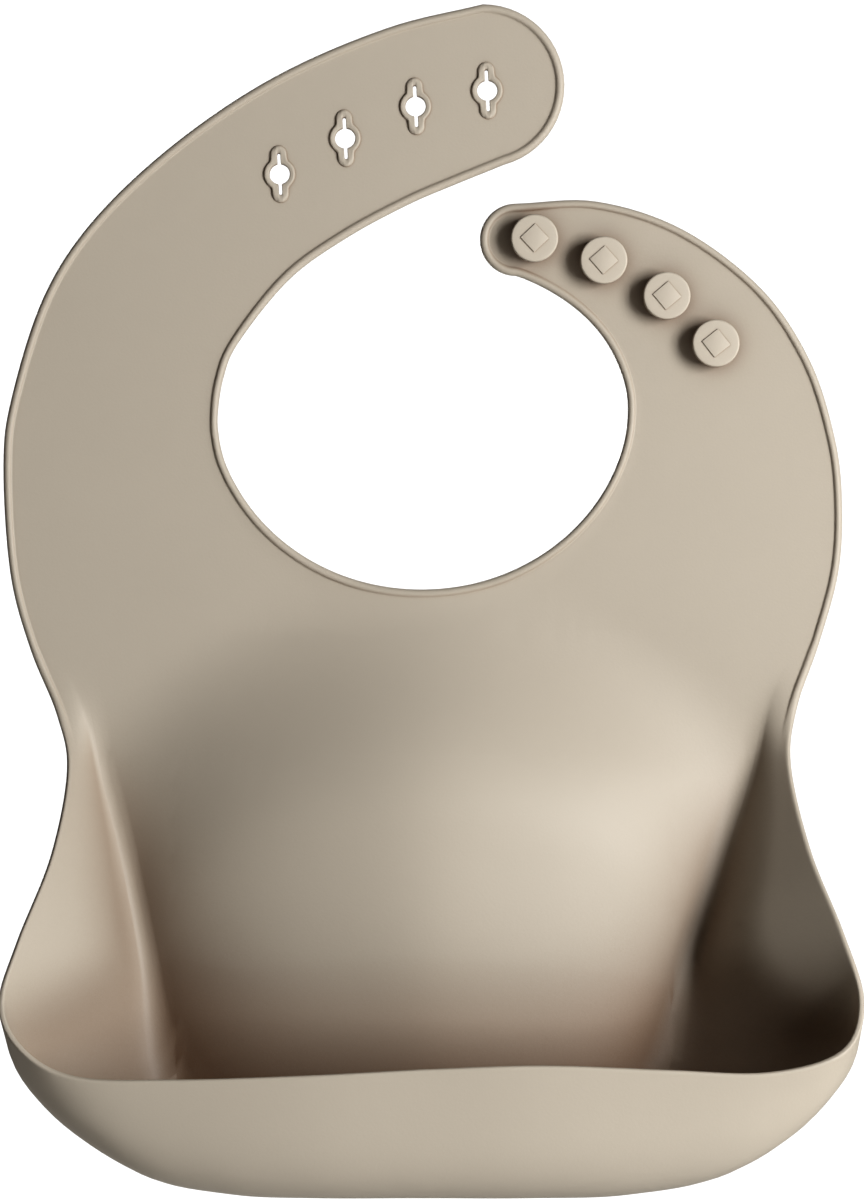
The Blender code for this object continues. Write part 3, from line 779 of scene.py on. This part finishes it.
nodeOf = {
    "chestPanel": "chest_panel", "bellyPanel": "belly_panel", "pocketFloor": "pocket_floor",
    "pocketFrontWall": "pocket_front_wall", "pocketLeftWall": "pocket_left_wall",
    "pocketRightWall": "pocket_right_wall", "buttonStrapRoot": "button_strap_root",
    "buttonStrapMid": "button_strap_mid", "buttonStrapTip": "button_strap_tip",
    "keyholeStrapRoot": "keyhole_strap_root", "keyholeStrapMid": "keyhole_strap_mid",
    "keyholeStrapTip": "keyhole_strap_tip",
}
bends = makeBends()
for name, bm in shapes.items():
    piece = finishObject(bm, name, silicone)
    for index, holder in enumerate(keyhole["pieces"]):
        if holder == name:
            cutKeyhole(piece, index)
    keepSheetNormals(piece.data)
    if name in bends:
        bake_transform(piece, *bends[name])
    else:
        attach(piece, "yoke")
    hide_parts(nodeOf[name])
print("sheet pieces placed")

for index, body in enumerate(keyhole["bodies"]):
    rim = finishObject(makeRim(index), "keyholeRim%d" % (index + 1), silicone)
    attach(rim, body)
    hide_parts("keyhole_rim_%d" % (index + 1))
print("keyhole rims placed")


# Buttons
stud = {
    "places": ((28.6, 41.6), (46.5, 35.9), (62.8, 26.7), (75.5, 14.4)),
    "bodies": ("button_strap_tip", "button_strap_mid", "button_strap_root", "button_strap_root"),
    "headRadius": 6.13,
    "headHeight": 2.4,
    "edgeRadius": 0.55,
    "stemRadius": 2.3,
    "stemHeight": 2.8,
    "padSide": 5.3,
    "padHeight": 0.35,
    "padSink": 0.4,  # how far the pad reaches down into the head
    "padBevel": 0.16,
    "padTurns": (47.0, 49.0, 50.0, 52.0),
    "steps": 72,
}


def studSection():
    # from the foot inside the sheet, up the stem, round the head and in to its centre, as (radius, height)
    r, e, s, h = stud["headRadius"], stud["edgeRadius"], stud["stemRadius"], stud["stemHeight"]
    top = h + stud["headHeight"]
    section = [(0.0, -0.3), (s + 0.8, -0.3), (s + 0.8, 0.0), (s + 0.35, 0.12), (s + 0.1, 0.4), (s, 0.8),
               (s, h - 0.5), (s + 0.15, h - 0.15), (s + 0.5, h)]
    for turn in range(0, 91, 18):
        a = math.radians(turn)
        section.append((r - 0.3 + 0.3 * math.sin(a), h + 0.3 - 0.3 * math.cos(a)))
    for turn in range(0, 91, 15):
        a = math.radians(turn)
        section.append((r - e + e * math.cos(a), top - e + e * math.sin(a)))
    section += [(r * 0.6, top), (0.0, top)]
    return section


def makeStud(index):
    x, z = stud["places"][index]
    face = -sheet["thickness"] / 2
    bm = bmesh.new()
    chain = [bm.verts.new((x + r, face - h, z)) for r, h in studSection()]
    edges = [bm.edges.new(pair) for pair in zip(chain, chain[1:])]
    bmesh.ops.spin(bm, geom=chain + edges, cent=(x, 0, z), axis=(0, 1, 0), dvec=(0, 0, 0), angle=math.tau,
                   steps=stud["steps"], use_merge=True, use_duplicate=False)
    bmesh.ops.remove_doubles(bm, verts=bm.verts, dist=0.001)
    facingOut(bm)
    top = face - stud["stemHeight"] - stud["headHeight"]
    turn = Matrix.Rotation(math.radians(stud["padTurns"][index]), 4, "Y")
    sink = stud["padSink"]
    place = Matrix.Translation((x, top + (sink - stud["padHeight"]) / 2, z))
    size = Matrix.Diagonal((stud["padSide"], stud["padHeight"] + sink, stud["padSide"], 1))
    made = bmesh.ops.create_cube(bm, size=1.0, matrix=place @ turn @ size)
    edges = {e for v in made["verts"] for e in v.link_edges}
    bmesh.ops.bevel(bm, geom=list(edges), offset=stud["padBevel"], offset_type="OFFSET", segments=3,
                    profile=0.5, affect="EDGES", material=-1)
    return bm


for index, body in enumerate(stud["bodies"]):
    button = finishObject(makeStud(index), "button%d" % (index + 1), studSilicone)
    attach(button, body)
    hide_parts("button_%d" % (index + 1))
print("buttons placed")


# Camera, light and floor
view = {
    "distance": 1.05,
    "aim": (0.00208, -0.052),
    "lens": 121.2,
}
camera = bpy.data.objects.new("camera", bpy.data.cameras.new("camera"))
bpy.context.scene.collection.objects.link(camera)
camera.location = (view["aim"][0], -view["distance"], view["aim"][1])
camera.rotation_euler = (math.radians(90), 0, 0)
camera.data.sensor_fit = "VERTICAL"
camera.data.sensor_height = 36
camera.data.lens = view["lens"]
camera.data.clip_start = 0.01
bpy.context.scene.camera = camera

lightAim = Vector((0, 0, -0.06))
lights = (
    # name, width and height, watts, place, colour
    ("key", (0.45, 0.7), 18.6, (0.86, -0.86, 0.02), (1.0, 0.998, 0.985)),
    ("fill", (1.0, 1.0), 0.35, (-0.3, -1.3, 0.4), (1.0, 0.84, 0.7)),
    ("rear", (0.7, 0.7), 14.0, (-0.35, 1.3, 0.25), (1.0, 0.99, 0.97)),
)
for name, size, watts, place, colour in lights:
    lamp = bpy.data.lights.new(name, "AREA")
    lamp.shape = "RECTANGLE"
    lamp.size, lamp.size_y = size
    lamp.energy = watts
    lamp.color = colour
    holder = bpy.data.objects.new(name, lamp)
    bpy.context.scene.collection.objects.link(holder)
    holder.location = place
    holder.visible_camera = False
    holder.rotation_euler = (lightAim - Vector(place)).to_track_quat("-Z", "Y").to_euler()

room = {
    "tone": (1, 0.84, 0.7, 1),
    "strength": 0.03,
    "backdrop": (1, 1, 1, 1),
    "floorTone": (0.62, 0.61, 0.59, 1),
    "floorInView": (0.74, 0.73, 0.71, 1),
    "floorRoughness": 0.9,
    "floorHalf": 1.6,
    "floorHeight": -0.62,
}


def mixByCameraRay(tree, unseen, seen, output):
    # one shader for the light the object gets, another for what the camera sees straight on
    path = tree.nodes.new("ShaderNodeLightPath")
    either = tree.nodes.new("ShaderNodeMixShader")
    tree.links.new(path.outputs["Is Camera Ray"], either.inputs[0])
    tree.links.new(unseen.outputs[0], either.inputs[1])
    tree.links.new(seen.outputs[0], either.inputs[2])
    tree.links.new(either.outputs[0], output.inputs["Surface"])


def makeRoom():
    world = bpy.data.worlds.new("paleRoom")
    bpy.context.scene.world = world
    world.use_nodes = True
    nodes = world.node_tree.nodes
    nodes.clear()
    dim = nodes.new("ShaderNodeBackground")
    dim.inputs["Color"].default_value = room["tone"]
    dim.inputs["Strength"].default_value = room["strength"]
    backdrop = nodes.new("ShaderNodeBackground")
    backdrop.inputs["Color"].default_value = room["backdrop"]
    mixByCameraRay(world.node_tree, dim, backdrop, nodes.new("ShaderNodeOutputWorld"))


def makeFloorFinish():
    # an even pale tone in view, and a plain matt sheet for the light it reflects
    paper = bpy.data.materials.new("paleFloor")
    paper.use_nodes = True
    nodes = paper.node_tree.nodes
    matt = nodes["Principled BSDF"]
    matt.inputs["Base Color"].default_value = room["floorTone"]
    matt.inputs["Roughness"].default_value = room["floorRoughness"]
    glow = nodes.new("ShaderNodeEmission")
    glow.inputs["Color"].default_value = room["floorInView"]
    mixByCameraRay(paper.node_tree, matt, glow, nodes["Material Output"])
    return paper


makeRoom()
bpy.context.scene.view_settings.view_transform = "Standard"
bpy.context.scene.view_settings.look = "Medium High Contrast"

floor = bmesh.new()
bmesh.ops.create_grid(floor, x_segments=1, y_segments=1, size=room["floorHalf"])
floorMesh = bpy.data.meshes.new("floor")
bmesh.ops.translate(floor, vec=(0, 0, room["floorHeight"]), verts=floor.verts)
floor.to_mesh(floorMesh)
floorPiece = bpy.data.objects.new("floor", floorMesh)
floorMesh.materials.append(makeFloorFinish())
bpy.context.scene.collection.objects.link(floorPiece)
